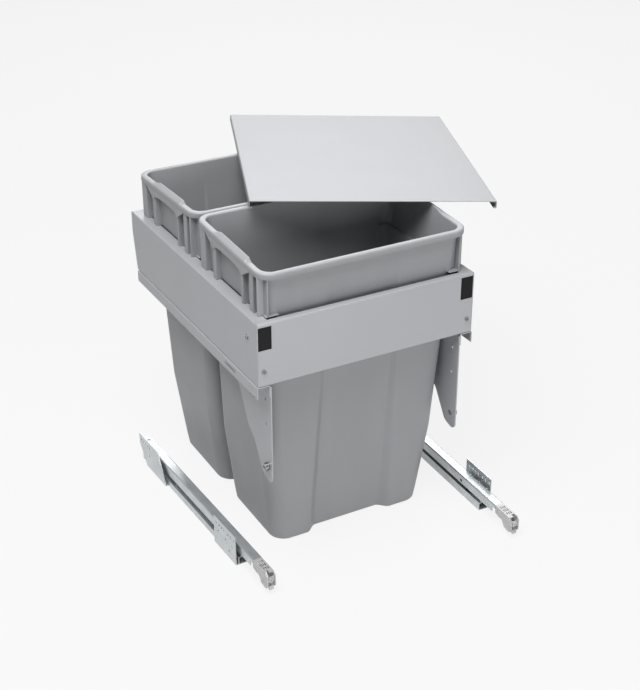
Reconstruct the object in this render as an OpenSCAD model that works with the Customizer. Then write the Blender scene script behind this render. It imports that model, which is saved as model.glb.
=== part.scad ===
// Pull out waste unit for a base cabinet: a sheet steel frame with two bins, a loose lid and
// a pair of concealed runners, laid out as it comes apart before it is fitted.
// The origin is the middle of the front bin's base. X runs across, Y to the rear, Z up.

/* [Frame] */
// Outer width of the frame
frame_w = 376; // [372:1:420]
// Depth of the frame from front face to rear edge
frame_d = 480; // [474:1:540]
// Height of the front and side panels
frame_h = 104; // [90:1:120]
// Height of the frame's upper face above the floor
frame_top_z = 440; // [425:1:455]
// Thickness of the frame's sheet
sheet_t = 1.2; // [0.8:0.1:1.5]
// Inner radius of the sheet's bends
bend_r = 0.8; // [0.5:0.1:1.5]
// Width of the side panels' upper flange, which the bins hang on
side_flange_w = 21; // [16:0.5:21.5]
// Width of the upper flange of the front panel and of the rear rail
end_flange_w = 10; // [8:0.5:11]
// Width of the lower flanges
foot_flange_w = 12; // [8:0.5:14]
// Width of the cut-out at each end of the front panel
window_w = 22.3; // [16:0.1:26]
// Height of the cut-out
window_h = 38.5; // [30:0.5:46]
// Distance from the upper face to the cut-out
window_drop = 5.5; // [4:0.5:10]
// Height of the rear rail
rail_h = 36; // [28:1:48]
// Distance by which the side panels' rear edge leans forward at its foot
rear_lean = 13; // [4:0.5:20]

/* [Corner blocks] */
// Length of a corner block's leg along the side panel
block_side_leg = 46; // [36:1:60]
// Length of a corner block's leg along the front or rear
block_end_leg = 24; // [20:0.5:28]
// Wall of a corner block
block_wall = 2; // [1.5:0.1:3]
// Height of a front corner block
block_h = 84; // [70:1:90]
// Clearance between a block and the sheet above it
block_clear = 0.3; // [0.1:0.05:0.5]

/* [Screws and rivets] */
// Diameter of a screw's shank
screw_d = 3.4; // [3:0.1:4]
// Diameter of a screw's head
screw_head_d = 7.4; // [6:0.1:9]
// Height of a screw's head
screw_head_h = 2; // [1.5:0.1:3]
// Length of a screw's shank
screw_len = 7; // [5:0.5:9]
// Distance of the front screws from the frame's side
screw_inset = 10; // [8:0.5:12]
// Height of the front screws below the frame's upper face
screw_drop = 79; // [60:1:90]
// Distance of the side screws from the frame's front
side_screw_inset = 34; // [26:1:40]
// Height of the side screws below the frame's upper face
side_screw_drop = 34; // [20:1:60]
// Diameter of a rivet's shank
rivet_d = 4; // [3:0.1:5]
// Diameter of a rivet's head
rivet_head_d = 7; // [6:0.1:9]
// Height of a rivet's head
rivet_head_h = 1.1; // [0.8:0.1:1.5]

/* [Runner channel] */
// Thickness of the channel's sheet
channel_t = 1.5; // [1:0.1:2]
// Distance by which the channel stands out from the side panel
channel_proud = 1.8; // [0.5:0.1:3]
// Inner edge of the channel, from the frame's side
channel_reach = 20; // [18:0.5:22]
// Height of the channel's outer flange
channel_outer_h = 19; // [14:0.5:24]
// Height of the channel's inner flange
channel_inner_h = 20; // [16:0.5:24]
// Distance from the channel's rear end to the frame's rear edge
channel_rear_gap = 10; // [4:0.5:20]
// Length of the slot stamped in the outer flange
channel_slot_l = 38; // [20:1:60]
// Height of that slot
channel_slot_h = 6; // [4:0.5:8]
// Distance of the slot's middle from the frame's front
channel_slot_y = 94; // [70:1:160]

/* [Door bracket] */
// Thickness of a door bracket
bracket_t = 2; // [1.5:0.1:2.5]
// Depth of a door bracket at its top
bracket_d = 126; // [100:1:160]
// Height of a door bracket
bracket_h = 176; // [140:1:200]
// Distance of the bracket's top below the channel's web
bracket_drop = 2; // [1:0.5:4]
// Diameter of the holes for the door's fixing screws
door_hole_d = 5; // [4:0.1:6]
// Diameter of the turning adjuster
cam_d = 14; // [9:0.5:15]
// Height of the turning adjuster
cam_h = 6; // [4:0.5:8]
// Diameter of the adjuster's shaft
cam_shaft_d = 5; // [4:0.1:7]
// Play round the adjuster's shaft and under its faces
cam_play = 0.3; // [0.2:0.05:0.5]

/* [Bins] */
// Height of a bin's rim over the frame's upper face, at the recessed end
bin_over = 70.6; // [60:0.1:85]
// Rise of the rim from the recessed end to the straight end
bin_rim_rise = 8; // [4:0.5:10]
// Gap between the bins' rims and the frame's sides, seen from above
bin_side_clear = 9; // [8:0.5:12]
// Gap between the front bin's rim and the frame's front face, seen from above
bin_front_gap = 8.5; // [6:0.5:14]
// Gap between the two bins' rims
bin_gap = 2.6; // [1:0.1:4]
// Gap between the rear bin's rim and the frame's rear edge, seen from above
bin_rear_gap = 4.9; // [3:0.1:12]
// Distance by which the side walls draw in from the rim to the base
bin_base_draw = 41.5; // [36:0.5:50]
// Height at which the side walls change their slope
bin_crease_z = 145; // [110:1:180]
// Distance by which the side walls draw in from the rim to that height
bin_crease_draw = 24.5; // [22:0.5:30]
// Wall thickness of a bin
bin_wall = 2.2; // [1.8:0.1:3]
// Thickness of a bin's floor
bin_floor = 3; // [2.2:0.1:4]
// Distance that the rim stands out from the side walls
bin_side_lip = 8.5; // [7:0.5:10]
// Distance by which the side walls draw in from the rim down to their ledge
bin_side_draft = 2.5; // [1:0.5:3]
// Width of the ledge on the side walls that lies on the frame
bin_ledge_w = 5; // [4:0.5:7]
// Distance that the rim stands out from the end walls
bin_end_lip = 7.5; // [5:0.5:9]
// Lean of the recessed end wall over its height
bin_front_rake = 41; // [34:1:44]
// Lean of the straight end wall over its height
bin_back_rake = 5; // [3:0.5:10]
// Height of the rim
bin_rim_h = 10; // [8:0.5:12]
// Rounding of the rim's edges
bin_rim_round = 2; // [1:0.1:2.1]
// Corner radius of the rim
bin_rim_r = 25; // [20:1:30]
// Corner radius of the walls at the top
bin_wall_r = 19; // [15:1:24]
// Corner radius of the base
bin_base_r = 28; // [20:1:32]
// Rounding of the base's lower edge
bin_foot_round = 4; // [2:0.5:6]
// Depth of the recess in the end wall at the base
recess_depth = 14; // [8:0.5:18]
// Distance below the rim at which the recess begins
recess_drop = 30.6; // [20:0.1:60]
// Width of the recess at its bottom plane
recess_w = 117; // [100:1:130]
// Width of the recess over its sloping sides at the base
recess_mouth_w = 160; // [140:1:170]
// Length of the grip's level part on the side rims
grip_l = 92; // [80:1:110]
// Height of the grip over the rim
grip_rise = 5.4; // [2:0.1:7]
// Length over which the grip falls away at its gentle end
grip_run = 23; // [12:1:30]
// Length over which it falls away at its steep end
grip_step = 1.6; // [1:0.1:4]
// Distance of the level part's middle from the rim's middle, toward its steep end
grip_offset = 14; // [8:0.5:16]
// Length of the apron under the grip between its tips
apron_l = 96; // [90:1:110]
// Distance of the apron's middle from the rim's middle, the same way
apron_offset = 1.5; // [0:0.5:8]
// Length over which the apron runs out beyond each tip
apron_run = 28; // [20:1:32]
// Height of the apron, from under the rim down to its tips
apron_drop = 17; // [12:0.5:22]
// Rise of the arch between the apron's tips
apron_arch = 9.5; // [4:0.5:12]
// Thickness of the apron, the ribs and the corner posts
rib_t = 2.4; // [1.8:0.1:3]
// Distance that the ribs and posts lie inside the rim's outer face
rib_inset = 1.2; // [0.5:0.1:2]
// Gap under the ribs' feet and between pieces that rest on each other
seat_gap = 0.3; // [0.2:0.05:0.5]
// Play that the bins lie to the right of the frame's middle
bin_side_play = 3; // [0:0.1:3]

/* [Lid] */
// Width of the lid
lid_w = 392.4; // [360:0.1:400]
// Depth of the lid
lid_d = 458; // [420:1:480]
// Thickness of the lid's sheet
lid_t = 1.2; // [0.8:0.1:1.5]
// Height of the lid's side flanges
lid_flange_h = 12; // [8:0.5:14]
// Width of the lid's inward return
lid_return_w = 5; // [3:0.5:8]
// Turn of the lid on the bins, seen from above
lid_turn = -21.81; // [-25:0.01:-15]
// Slope of the lid across its width
lid_roll = 2.87; // [2.5:0.01:3.2]
// Slope of the lid along its depth
lid_pitch = -2.17; // [-2.4:0.01:-2]

/* [Runner] */
// Width of a runner's profiles
runner_w = 18.5; // [17:0.5:20]
// Height of a runner over its drawer member
runner_h = 38.5; // [37:0.5:42]
// Length of the cabinet member
cabinet_member_l = 363; // [340:1:400]
// Length of the middle member
middle_member_l = 350; // [320:1:380]
// Length of the drawer member
drawer_member_l = 415; // [390:1:440]
// Thickness of the runner's sheet
runner_t = 1.5; // [1.2:0.1:1.6]
// Height of the cabinet member's inner wall
cabinet_inner_h = 16; // [12:0.5:17]
// Height of the cabinet member's outer wall
cabinet_outer_h = 13; // [9:0.5:15]
// Distance of the mounting plates from the profile
plate_gap = 5; // [3:0.5:8]
// Height of the mounting plates
plate_h = 55.5; // [48:0.5:64]
// Length of the front mounting plate
front_plate_l = 74; // [60:1:90]
// Length of the rear mounting plate
rear_plate_l = 74; // [60:1:90]
// Diameter of the screw holes in the plates
plate_hole_d = 4.4; // [3.5:0.1:5.5]
// Height of the upper row of holes above the floor
plate_hole_z = 45; // [40:0.5:48]
// Width of the middle member's flanges
middle_flange_w = 10; // [8:0.5:11]
// Height of the middle member
middle_h = 24; // [20:0.5:26]
// Height of the middle member's lower face above the floor
middle_z = 7; // [6.5:0.1:7.5]
// Play between rollers and the faces they run on
roller_play = 0.3; // [0.2:0.05:0.4]
// Length of a roller carriage
carriage_l = 125; // [90:1:140]
// Width of a roller carriage
carriage_w = 12; // [9:0.5:13]
// Length of a roller
roller_l = 8; // [6:0.5:9]
// Number of rollers in a carriage
roller_count = 6; // [4:1:8]
// Height of the drawer member's flanges
drawer_flange_h = 15.5; // [12:0.5:16]
// Length of the damper housing
damper_l = 92; // [70:1:120]
// Width of the damper housing
damper_w = 3.8; // [3.4:0.1:4]
// Length of the closing catch
catch_l = 10; // [8:0.5:14]
// Travel of the closing catch
catch_travel = 40; // [25:1:50]
// Diameter of the damper's rod
damper_rod_d = 1.6; // [1.2:0.1:2]

/* [Locking device] */
// Length of the locking device in front of the drawer member
coupling_l = 46; // [38:1:52]
// Width of the locking device
coupling_w = 15.5; // [13:0.5:17]
// Height of the locking device
coupling_h = 28; // [24:0.5:30]
// Wall of the locking device
coupling_wall = 1.8; // [1.4:0.1:2.2]
// Diameter of the adjusting wheel
wheel_d = 8; // [6:0.5:9]
// Thickness of the adjusting wheel
wheel_t = 2.4; // [1.5:0.1:3]
// Width of the release lever
lever_w = 8; // [6:0.5:10]
// Diameter of the lever's pivot
pivot_d = 3; // [2:0.1:4]
// Play round pivots and between moving plastic parts
part_play = 0.3; // [0.2:0.05:0.5]

/* [Places] */
// Front of the left runner: sideways place, then distance behind the origin
left_runner_x = -218; // [-260:1:-215]
// Distance of the left runner's front end behind the origin
left_runner_y = -199.5; // [-260:0.5:-150]
// Turn of the left runner, seen from above
left_runner_turn = 2.2; // [0:0.1:4]
// Sideways place of the right runner's front end
right_runner_x = 226; // [222:1:260]
// Distance of the right runner's front end behind the origin
right_runner_y = -259.5; // [-300:0.5:-200]
// Turn of the right runner, seen from above
right_runner_turn = -0.9; // [-3:0.1:0]
// Distance of the lid's middle inside the bins' right rim
lid_in = 12.8; // [10:0.1:15]
// Distance of the lid's middle behind the rear bin's middle
lid_behind = 3.4; // [1:0.1:6]
// Height of the lid's upper face over the rims' recessed ends at its middle
lid_lift = 11.6; // [11.6:0.1:15]

/* [Hidden] */
// Overrun of cuts past the faces they open
cut = 1;
// Thin overlap that joins shapes of one solid
bite = 0.2;
arc_steps = 4;
bin_steps = 8;

// Colours
steel_grey = [0.66, 0.67, 0.69];
bin_grey = [0.58, 0.59, 0.60];
lid_grey = [0.82, 0.83, 0.85];
zinc = [0.70, 0.74, 0.76];
die_cast = [0.74, 0.74, 0.73];
black = [0.09, 0.09, 0.09];

// Derived frame values, measured from the frame's middle, front face and the floor
bin_h = frame_top_z + bin_over;
recess_top_z = bin_h - recess_drop;
bin_rim_w = frame_w - 2 * bin_side_clear;
bin_rim_d = (frame_d - bin_front_gap - bin_gap - bin_rear_gap) / 2;
bin_base_d = bin_rim_d - 2 * bin_end_lip - bin_front_rake - bin_back_rake;
frame_front_y = -(bin_base_d / 2 + bin_front_rake + bin_end_lip + bin_front_gap);
frame_half = frame_w / 2;
frame_foot_z = frame_top_z - frame_h;
inner_half = frame_half - sheet_t;
block_t = side_flange_w - sheet_t - block_clear;
channel_top_z = frame_foot_z;
channel_web_z = channel_top_z - channel_t;
channel_inner_x = -frame_half + channel_reach;
bracket_top_z = channel_web_z - bracket_drop;
bracket_plate_x = channel_inner_x;

// Outline of a door bracket: shares of its depth and height, from the top front corner
bracket_outline_shares = [
  [0, 1], [0.24, 0.955], [0.47, 0.7], [0.645, 0.59], [0.86, 0.295], [0.985, 0.12], [1, 0], [0, 0],
];
// Corner radii of that outline, as shares of its depth
bracket_round_shares = [0.08, 0.11, 0.12, 0.1, 0.12, 0.1, 0.02, 0];
// Places of the bracket's fixing holes, the same way
bracket_hole_shares = [[0.14, 0.41], [0.14, 0.16], [0.46, 0.25], [0.585, 0.245]];
cam_place_share = [0.11, 0.835];
// Places of the rivets along the bracket's top, as shares of its depth
rivet_shares = [0.22, 0.72];
rivet_z = channel_web_z - channel_inner_h / 2 + channel_t;

// Derived bin values, measured from the middle of its base
bin_front_y = -(bin_base_d / 2 + bin_front_rake + bin_end_lip);
bin_back_y = bin_front_y + bin_rim_d;
bin_mid_y = (bin_front_y + bin_back_y) / 2;
rim_under_z = bin_h - bin_rim_h;
rear_bin_y = bin_back_y + bin_gap + bin_back_y;
ledge_z = frame_top_z + seat_gap;
// Places and widths of the hanging ribs on the left side, as shares of the rim's depth: how far
// from its middle toward the straight end, and how wide
rib_shares = [[-0.427, 0.01], [-0.347, 0.052], [-0.215, 0.026], [0.198, 0.043], [0.379, 0.081]];

// Derived runner values, measured from the front end of the locking device
cabinet_start = 2 * coupling_l;
drawer_start = coupling_l + seat_gap;
drawer_neck = coupling_w / 2;
middle_start = cabinet_start + coupling_wall * 4;
profile_x = plate_gap;
profile_in_x = plate_gap + runner_w;
profile_mid_x = profile_x + runner_w / 2;
drawer_x = profile_x + runner_t;
lower_space = middle_z - runner_t;
upper_z = middle_z + middle_h;
upper_space = runner_h - runner_t - upper_z;
lower_start = middle_start + middle_member_l * 0.4;
upper_start = middle_start + middle_member_l * 0.36;
rear_plate_end = cabinet_start + cabinet_member_l;
coupling_x = drawer_x + part_play;
coupling_mid_x = coupling_x + coupling_w / 2;
pivot_s = coupling_l - coupling_wall * 4;
pivot_z = runner_h - coupling_h * 0.4;
wheel_z = runner_h - coupling_h * 0.42;

// Plane geometry

function heading(a, b) = (b - a) / norm(b - a);
function left_of(d) = [-d[1], d[0]];
function cross_of(a, b) = a[0] * b[1] - a[1] * b[0];
function reversed(list) = [for (i = [len(list) - 1 : -1 : 0]) list[i]];
function mix(a, b, share) = a + (b - a) * share;
function ease(t) = t * t * (3 - 2 * t);

// The path moved sideways by d, to its left, with mitred corners
function moved(path, d) = [
  for (i = [0 : len(path) - 1])
    let (
      last = len(path) - 1,
      u = i == 0 ? heading(path[0], path[1]) : heading(path[i - 1], path[i]),
      v = i == last ? u : heading(path[i], path[i + 1]),
      m = left_of(u) + left_of(v)
    )
    path[i] + m * (2 * d / (m * m))
];

// Points of the arc that rounds the corner b between a and c
function corner_arc(a, b, c, r, steps) =
  let (
    u = heading(b, a),
    v = heading(b, c),
    half = acos(max(-1, min(1, u * v))) / 2,
    centre = b + (u + v) / norm(u + v) * r / sin(half),
    first = b + u * r / tan(half) - centre,
    start = atan2(first[1], first[0]),
    sweep = (180 - 2 * half) * sign(cross_of(b - a, c - b))
  )
  [for (i = [0 : steps]) centre + r * [cos(start + sweep * i / steps), sin(start + sweep * i / steps)]];

// An open path with each inner corner rounded by its own radius
function bent(path, radii) = [
  for (i = [0 : len(path) - 1])
    each radii[i] <= 0 ? [path[i]] : corner_arc(path[i - 1], path[i], path[i + 1], radii[i], arc_steps)
];

// A closed outline with each corner rounded by its own radius
function rounded(points, radii) = [
  for (i = [0 : len(points) - 1])
    let (n = len(points))
    each radii[i] <= 0
      ? [points[i]]
      : corner_arc(points[(i + n - 1) % n], points[i], points[(i + 1) % n], radii[i], arc_steps)
];

// Cross-section of a sheet folded along a path: t is its thickness, to the left when positive
function fold(path, t, r) =
  let (
    last = len(path) - 1,
    turns = [
      for (i = [0 : last])
        i == 0 || i == last ? 0 : sign(cross_of(path[i] - path[i - 1], path[i + 1] - path[i]))
    ],
    near = [for (k = turns) k == 0 ? 0 : k * t > 0 ? r + abs(t) : r],
    far = [for (k = turns) k == 0 ? 0 : k * t > 0 ? r : r + abs(t)]
  )
  concat(bent(path, near), reversed(bent(moved(path, t), far)));

// Drawn shape in the XZ plane, extruded along Y from y0
module along_y(y0, length) {
  translate([0, y0 + length, 0])
    rotate([90, 0, 0])
      linear_extrude(length)
        children();
}

// Drawn shape in the YZ plane, extruded along X from x0
module along_x(x0, length) {
  translate([x0, 0, 0])
    rotate([90, 0, 90])
      linear_extrude(length)
        children();
}

// Cylinder along X from x0
module rod_x(x0, length, d) {
  translate([x0, 0, 0])
    rotate([0, 90, 0])
      cylinder(h = length, d = d, $fn = 32);
}

// Cylinder along Y from y0
module rod_y(y0, length, d) {
  translate([0, y0, 0])
    rotate([-90, 0, 0])
      cylinder(h = length, d = d, $fn = 32);
}

// Slot with round ends in the YZ plane, cut along X from x0
module slot_x(x0, length, slot_l, slot_h) {
  for (s = [-1, 1])
    translate([0, s * (slot_l - slot_h) / 2, 0])
      rod_x(x0, length, slot_h);
  translate([x0, -(slot_l - slot_h) / 2, -slot_h / 2])
    cube([length, slot_l - slot_h, slot_h]);
}

// Places

module in_frame() {
  translate([-bin_side_play, frame_front_y, 0])
    children();
}

module on_side(side) {
  if (side > 0)
    mirror([1, 0, 0])
      children();
  else
    children();
}

module at_runner(side) {
  if (side > 0)
    translate([right_runner_x, right_runner_y, 0])
      rotate([0, 0, right_runner_turn])
        mirror([1, 0, 0])
          children();
  else
    translate([left_runner_x, left_runner_y, 0])
      rotate([0, 0, left_runner_turn])
        children();
}

// Frame

// Screw with its head outside the origin's plane, pointing along +Y
module screw() {
  difference() {
    union() {
      rod_y(-screw_head_h, screw_head_h, screw_head_d);
      rod_y(-bite, screw_len + bite, screw_d);
    }
    for (a = [0, 90])
      rotate([0, a, 0])
        translate([-screw_head_d * 0.28, -screw_head_h - cut, -screw_head_d * 0.06])
          cube([screw_head_d * 0.56, cut + screw_head_h / 2, screw_head_d * 0.12]);
  }
}

module front_screw_places() {
  for (side = [-1, 1])
    translate([side * (frame_half - screw_inset), 0, frame_top_z - screw_drop])
      children();
}

module side_screw_places(side) {
  translate([side * frame_half, side_screw_inset, frame_top_z - side_screw_drop])
    rotate([0, 0, side * 90])
      children();
}

module rear_screw_places() {
  for (side = [-1, 1])
    translate([side * (frame_half - screw_inset), frame_d, frame_top_z - rail_h / 2])
      rotate([0, 0, 180])
        children();
}

module screw_hole() {
  rod_y(-cut, screw_len + 2 * cut, screw_d);
}

module side_panel(side) {
  path = [
    [-frame_half + foot_flange_w, frame_foot_z],
    [-frame_half, frame_foot_z],
    [-frame_half, frame_top_z],
    [-frame_half + side_flange_w, frame_top_z],
  ];
  color(steel_grey)
    in_frame()
      difference() {
        on_side(side)
          difference() {
            along_y(0, frame_d)
              polygon(fold(path, -sheet_t, bend_r));
            // corners of the flanges give way to the front panel and the rear rail
            translate([-frame_half + sheet_t, -cut, frame_foot_z - cut])
              cube([frame_w, cut + end_flange_w + seat_gap, frame_h + 2 * cut]);
            translate([-frame_half + sheet_t, frame_d - end_flange_w - seat_gap, frame_foot_z - cut])
              cube([frame_w, end_flange_w + seat_gap + cut, frame_h + 2 * cut]);
            // leaning rear edge below the rail
            along_x(-frame_half - cut, frame_w)
              polygon([
                [frame_d + cut, frame_top_z - rail_h],
                [frame_d, frame_top_z - rail_h],
                [frame_d - rear_lean, frame_foot_z],
                [frame_d - rear_lean, frame_foot_z - cut],
                [frame_d + cut, frame_foot_z - cut],
              ]);
          }
        side_screw_places(side)
          screw_hole();
      }
}

module front_panel() {
  path = [
    [end_flange_w, frame_foot_z],
    [0, frame_foot_z],
    [0, frame_top_z],
    [end_flange_w, frame_top_z],
  ];
  half = inner_half - seat_gap / 2;
  color(steel_grey)
    in_frame()
      difference() {
        along_x(-half, 2 * half)
          polygon(fold(path, -sheet_t, bend_r));
        for (side = [-1, 1])
          translate([
            side > 0 ? frame_half - sheet_t - window_w : -half - cut,
            -cut,
            frame_top_z - window_drop - window_h
          ])
            cube([half - inner_half + window_w + cut, sheet_t + 2 * cut, window_h]);
        front_screw_places()
          screw_hole();
      }
}

module rear_rail() {
  path = [
    [frame_d - end_flange_w, frame_top_z - rail_h],
    [frame_d, frame_top_z - rail_h],
    [frame_d, frame_top_z],
    [frame_d - end_flange_w, frame_top_z],
  ];
  half = inner_half - seat_gap / 2;
  color(steel_grey)
    in_frame()
      difference() {
        along_x(-half, 2 * half)
          polygon(fold(path, sheet_t, bend_r));
        rear_screw_places()
          screw_hole();
      }
}

// Moulded corner piece: an angle with a web, open toward the bins
module corner_block(side, top_z, height, end_leg, front) {
  x0 = -inner_half;
  y0 = sheet_t;
  end_t = end_flange_w - sheet_t - block_clear;
  pocket_l = block_side_leg - end_t - 2 * block_wall;
  pocket_h = (height - 3 * block_wall) / 2;
  difference() {
    on_side(side)
      difference() {
        translate([x0, y0, top_z - height])
          union() {
            cube([end_leg, end_t, height]);
            cube([block_t, block_side_leg, height]);
          }
        // pockets on the inner side of the long leg
        for (row = [0, 1])
          translate([
            x0 + block_wall,
            y0 + end_t + block_wall,
            top_z - height + block_wall + row * (pocket_h + block_wall)
          ])
            cube([block_t, pocket_l, pocket_h]);
      }
    if (front)
      front_screw_places()
        screw_hole();
    side_screw_places(side)
      screw_hole();
  }
}

module corner_block_front(side) {
  color(black)
    in_frame()
      corner_block(side, frame_top_z - sheet_t - block_clear, block_h, block_end_leg, true);
}

module corner_block_rear(side) {
  height = rail_h - 2 * (sheet_t + block_clear);
  color(black)
    in_frame()
      difference() {
        translate([0, frame_d, 0])
          mirror([0, 1, 0])
            corner_block(side, frame_top_z - sheet_t - block_clear, height, block_end_leg, false);
        rear_screw_places()
          screw_hole();
      }
}

module frame_screws() {
  color(zinc)
    in_frame() {
      front_screw_places()
        screw();
      for (side = [-1, 1])
        side_screw_places(side)
          screw();
      rear_screw_places()
        screw();
    }
}

// Runner channel and door bracket

module rivet_places() {
  for (share = rivet_shares)
    translate([bracket_plate_x, share * bracket_d, rivet_z])
      children();
}

module runner_channel(side) {
  path = [
    [-frame_half - channel_proud, channel_top_z - channel_outer_h],
    [-frame_half - channel_proud, channel_top_z],
    [channel_inner_x, channel_top_z],
    [channel_inner_x, channel_top_z - channel_inner_h],
  ];
  color(steel_grey)
    in_frame()
      on_side(side)
        difference() {
          along_y(0, frame_d - channel_rear_gap - rear_lean / 2)
            polygon(fold(path, -channel_t, bend_r));
          // stamped slot and round hole in the outer flange
          translate([0, channel_slot_y, channel_top_z - channel_outer_h / 2])
            slot_x(-frame_half - channel_proud - cut, channel_t + 2 * cut, channel_slot_l, channel_slot_h);
          translate([0, channel_slot_y / 4, channel_top_z - channel_outer_h / 2])
            rod_x(-frame_half - channel_proud - cut, channel_t + 2 * cut, door_hole_d);
          rivet_places()
            rod_x(-channel_t - cut, channel_t + 2 * cut, rivet_d);
        }
}

module bracket_point(share) {
  translate([bracket_plate_x, share[0] * bracket_d, bracket_top_z - share[1] * bracket_h])
    children();
}

module door_bracket(side) {
  outline = [for (p = bracket_outline_shares) [p[0] * bracket_d, bracket_top_z - p[1] * bracket_h]];
  color(steel_grey)
    in_frame()
      on_side(side)
        difference() {
          along_x(bracket_plate_x, bracket_t)
            polygon(rounded(outline, [for (r = bracket_round_shares) r * bracket_d]));
          for (p = bracket_hole_shares)
            bracket_point(p)
              rod_x(-cut, bracket_t + 2 * cut, door_hole_d);
          bracket_point(cam_place_share)
            rod_x(-cut, bracket_t + 2 * cut, cam_shaft_d + 2 * cam_play);
          rivet_places()
            rod_x(-cut, bracket_t + 2 * cut, rivet_d);
        }
}

module bracket_rivets() {
  color(zinc)
    in_frame()
      for (side = [-1, 1])
        on_side(side)
          rivet_places() {
            rod_x(-channel_t - rivet_head_h, rivet_head_h, rivet_head_d);
            rod_x(-channel_t - bite, channel_t + bracket_t + 2 * bite, rivet_d);
            rod_x(bracket_t, rivet_head_h, rivet_head_d);
          }
}

module door_cam(side) {
  color(zinc)
    in_frame()
      on_side(side)
        bracket_point(cam_place_share)
          difference() {
            union() {
              rod_x(-cam_play - cam_h, cam_h, cam_d);
              rod_x(-cam_play - bite, bracket_t + 2 * (cam_play + bite), cam_shaft_d);
              rod_x(bracket_t + cam_play, rivet_head_h, cam_shaft_d * 1.6);
            }
            // driver slot across the outer face
            translate([-cam_play - cam_h - cut, -cam_d * 0.35, -cam_d * 0.07])
              cube([cut + cam_h * 0.4, cam_d * 0.7, cam_d * 0.14]);
          }
}

// Bins

function bin_upper_half(z) =
  bin_rim_w / 2 - bin_side_lip - bin_side_draft * (bin_h - z) / (bin_h - ledge_z);
function bin_lower_half(z) =
  let (
    base = bin_rim_w / 2 - bin_base_draw,
    crease = bin_rim_w / 2 - bin_crease_draw,
    waist = bin_upper_half(ledge_z) - bin_ledge_w
  )
  z < bin_crease_z
    ? mix(base, crease, z / bin_crease_z)
    : mix(crease, waist, (z - bin_crease_z) / (ledge_z - bin_crease_z));
function bin_half_w(z) = z > ledge_z ? bin_upper_half(z) : bin_lower_half(z);
function bin_front_wall(z) = -bin_base_d / 2 - bin_front_rake * z / bin_h;
function bin_back_wall(z) = bin_base_d / 2 + bin_back_rake * z / bin_h;
function bin_corner_r(z) = mix(bin_base_r, bin_wall_r, z / bin_h);

// Half width of the outer wall at a place and height, with the rounding of its corners
function bin_wall_x(y, z) =
  let (
    r = bin_corner_r(z),
    d = max(0, bin_front_wall(z) + r - y, y - bin_back_wall(z) + r)
  )
  bin_half_w(z) - r + sqrt(r * r - d * d);

// Rise of the rim at a place
function rim_lift(y) = bin_rim_rise * (y - bin_front_y) / bin_rim_d;

// The right side of a bin is its left side turned half round: s runs from the rim's middle toward
// the straight end on the left side and toward the recessed end on the right side
function side_y(side, s) = bin_mid_y - side * s;

// Places along the grip, and the share of its height there
grip_course = concat(
  [[-grip_offset - grip_l / 2 - grip_step, 0], [-grip_offset - grip_l / 2, 1]],
  [for (t = [0, 0.25, 0.5, 0.75, 1]) [-grip_offset + grip_l / 2 + grip_run * t, 1 - ease(t)]]
);

// Points down a side of a ring between its corners, each carrying its share of the grip's height
function side_points(side, half_w, front, back, r) =
  [
    for (p = reversed(grip_course))
      let (
        share = (side_y(side, p[0]) - bin_front_y - bin_rim_r) / (bin_rim_d - 2 * bin_rim_r)
      )
      [side * half_w, mix(front + r, back - r, share), p[1]]
  ];

// One closed ring: a rounded rectangle whose front side dips by depth between the recess widths.
// The third value of each point is its share of the grip's height.
function bin_ring(half_w, front, back, r, mouth, inner, depth) =
  let (
    left = [for (t = [0, 0.2, 0.5, 0.8, 1]) [mix(-mouth, -inner, t), front + depth * ease(t), 0]],
    right = [for (p = reversed(left)) [-p[0], p[1], 0]]
  )
  concat(
    [for (i = [0 : bin_steps]) let (a = 180 + 90 * i / bin_steps)
      [-half_w + r + r * cos(a), front + r + r * sin(a), 0]],
    left,
    right,
    [for (i = [0 : bin_steps]) let (a = 270 + 90 * i / bin_steps)
      [half_w - r + r * cos(a), front + r + r * sin(a), 0]],
    side_points(1, half_w, front, back, r),
    [for (i = [0 : bin_steps]) let (a = 90 * i / bin_steps)
      [half_w - r + r * cos(a), back - r + r * sin(a), 0]],
    [for (i = [0 : bin_steps]) let (a = 90 + 90 * i / bin_steps)
      [-half_w + r + r * cos(a), back - r + r * sin(a), 0]],
    side_points(-1, half_w, front, back, r)
  );

// A ring laid level, and a ring laid on the rising rim with part of the grip's height
function level(ring, at_z) = [for (p = ring) [p[0], p[1], at_z]];
function risen(ring, at_z, part) =
  [for (p = ring) [p[0], p[1], at_z + rim_lift(p[1]) + part * grip_rise * p[2]]];

// Ring of the wall at a height, moved inward
function wall_ring(z, inward) =
  let (
    share = max(0, 1 - z / recess_top_z),
    inner = recess_w / 2 - inward * 0.4,
    mouth = inner + (recess_mouth_w - recess_w) / 2 * (0.25 + 0.75 * share)
  )
  bin_ring(
    bin_half_w(z) - inward,
    bin_front_wall(z) + inward,
    bin_back_wall(z) - inward,
    bin_corner_r(z) - inward,
    mouth,
    inner,
    recess_depth * share
  );

// Ring of the rim, moved inward
function rim_ring(inward) =
  bin_ring(
    bin_rim_w / 2 - inward,
    bin_front_y + inward,
    bin_back_y - inward,
    bin_rim_r - inward,
    recess_w / 2 + (recess_mouth_w - recess_w) / 8,
    recess_w / 2,
    0
  );

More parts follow.
